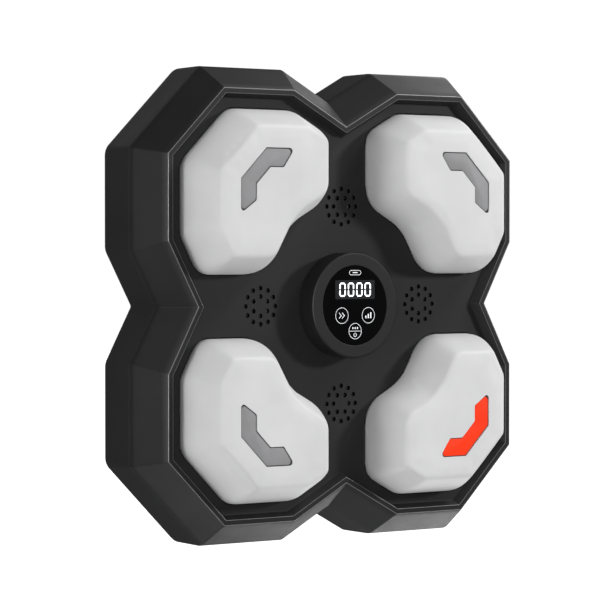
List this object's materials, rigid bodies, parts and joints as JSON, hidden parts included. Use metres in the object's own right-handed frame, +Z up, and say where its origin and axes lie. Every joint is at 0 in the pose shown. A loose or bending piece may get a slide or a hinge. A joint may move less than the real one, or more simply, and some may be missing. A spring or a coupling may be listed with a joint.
{
  "type": "wall-mounted boxing punch machine",
  "caption": "Wall-mounted electronic boxing target: four-lobed black housing, sprung padded strike pads with corner light windows, round control pod and speaker grilles.",
  "frame": {"origin": "centre of the flat back face, on the wall", "axes": "+Z up, +Y into the wall, -Y towards the boxer, +X to the boxer's right"},
  "size_m": [0.4, 0.1, 0.4],
  "materials": {
    "shell_plastic": "fine matt black ABS",
    "bezel_plastic": "satin black ABS",
    "inner_plastic": "plain moulded",
    "display_glass": "gloss black window",
    "circuit_board": "green solder mask",
    "display_module": "gloss",
    "chip_resin": "matt resin",
    "battery_wrap": "shrink wrap",
    "lead_jacket": "flexible jacket",
    "spring_steel": "drawn wire",
    "plated_steel": "nickel plated",
    "screw_steel": "black zinc",
    "speaker_steel": "painted",
    "speaker_paper": "pulp cone",
    "pad_skin": "matt light grey artificial leather",
    "pad_foam": "closed-cell foam",
    "window_grey": "translucent grey, unlit",
    "window_lit": "translucent, lit red-orange",
    "switch_body": "moulded"
  },
  "bodies": {
    "housing": {"back_shell": "shell_plastic", "battery_cradle": "inner_plastic", "battery_lead": "lead_jacket", "battery_pack": "battery_wrap", "board_screws": "screw_steel", "case_screws": "screw_steel", "chassis_plate": "inner_plastic", "chassis_screws": "screw_steel", "control_barrel": "bezel_plastic", "display_board": "circuit_board", "display_glass": "display_glass", "display_lead": "lead_jacket", "front_bezel": "bezel_plastic", "main_board": "circuit_board", "main_board_parts": "chip_resin", "pad_springs_bl": "spring_steel", "pad_springs_br": "spring_steel", "pad_springs_tl": "spring_steel", "pad_springs_tr": "spring_steel", "pod_screws": "screw_steel", "segment_display": "display_module", "speaker_basket_bottom": "speaker_steel", "speaker_basket_left": "speaker_steel", "speaker_basket_right": "speaker_steel", "speaker_basket_top": "speaker_steel", "speaker_cone_bottom": "speaker_paper", "speaker_cone_left": "speaker_paper", "speaker_cone_right": "speaker_paper", "speaker_cone_top": "speaker_paper", "strike_switch_bl": "switch_body", "strike_switch_br": "switch_body", "strike_switch_tl": "switch_body", "strike_switch_tr": "switch_body", "touch_springs": "spring_steel", "usb_c_socket": "plated_steel"},
    "pad_tr": {"pad_cover_tr": "pad_skin", "pad_foam_tr": "pad_foam", "light_guide_tr": "window_grey", "led_board_tr": "circuit_board", "pad_tray_tr": "inner_plastic"},
    "lever_tr": {"switch_lever_tr": "plated_steel"},
    "pad_br": {"pad_cover_br": "pad_skin", "pad_foam_br": "pad_foam", "light_guide_br": "window_lit", "led_board_br": "circuit_board", "pad_tray_br": "inner_plastic"},
    "lever_br": {"switch_lever_br": "plated_steel"},
    "pad_bl": {"pad_cover_bl": "pad_skin", "pad_foam_bl": "pad_foam", "light_guide_bl": "window_grey", "led_board_bl": "circuit_board", "pad_tray_bl": "inner_plastic"},
    "lever_bl": {"switch_lever_bl": "plated_steel"},
    "pad_tl": {"pad_cover_tl": "pad_skin", "pad_foam_tl": "pad_foam", "light_guide_tl": "window_grey", "led_board_tl": "circuit_board", "pad_tray_tl": "inner_plastic"},
    "lever_tl": {"switch_lever_tl": "plated_steel"}
  },
  "joints": [
    {"name": "pad_slide_tr", "type": "slide", "parent": "housing", "child": "pad_tr", "axis": [0, 1, 0], "range_m": [0, 0.003], "stiffness_N_per_m": 2600, "springref_m": -0.006, "deforming": ["pad_springs_tr"]},
    {"name": "lever_swing_tr", "type": "hinge", "parent": "housing", "child": "lever_tr", "pos_m": [0.0892, -0.039, 0.098], "axis": [0, 0, 1], "range_deg": [0, 12.5]},
    {"name": "pad_slide_br", "type": "slide", "parent": "housing", "child": "pad_br", "axis": [0, 1, 0], "range_m": [0, 0.003], "stiffness_N_per_m": 2600, "springref_m": -0.006, "deforming": ["pad_springs_br"]},
    {"name": "lever_swing_br", "type": "hinge", "parent": "housing", "child": "lever_br", "pos_m": [0.098, -0.039, -0.0892], "axis": [1, 0, 0], "range_deg": [0, 12.5]},
    {"name": "pad_slide_bl", "type": "slide", "parent": "housing", "child": "pad_bl", "axis": [0, 1, 0], "range_m": [0, 0.003], "stiffness_N_per_m": 2600, "springref_m": -0.006, "deforming": ["pad_springs_bl"]},
    {"name": "lever_swing_bl", "type": "hinge", "parent": "housing", "child": "lever_bl", "pos_m": [-0.0892, -0.039, -0.098], "axis": [0, 0, -1], "range_deg": [0, 12.5]},
    {"name": "pad_slide_tl", "type": "slide", "parent": "housing", "child": "pad_tl", "axis": [0, 1, 0], "range_m": [0, 0.003], "stiffness_N_per_m": 2600, "springref_m": -0.006, "deforming": ["pad_springs_tl"]},
    {"name": "lever_swing_tl", "type": "hinge", "parent": "housing", "child": "lever_tl", "pos_m": [-0.098, -0.039, 0.0892], "axis": [-1, 0, 0], "range_deg": [0, 12.5]}
  ],
  "couplings": [
    {"joint": "lever_swing_tr", "follows": "pad_slide_tr", "rad_per_m": 71.429},
    {"joint": "lever_swing_br", "follows": "pad_slide_br", "rad_per_m": 71.429},
    {"joint": "lever_swing_bl", "follows": "pad_slide_bl", "rad_per_m": 71.429},
    {"joint": "lever_swing_tl", "follows": "pad_slide_tl", "rad_per_m": 71.429}
  ]
}
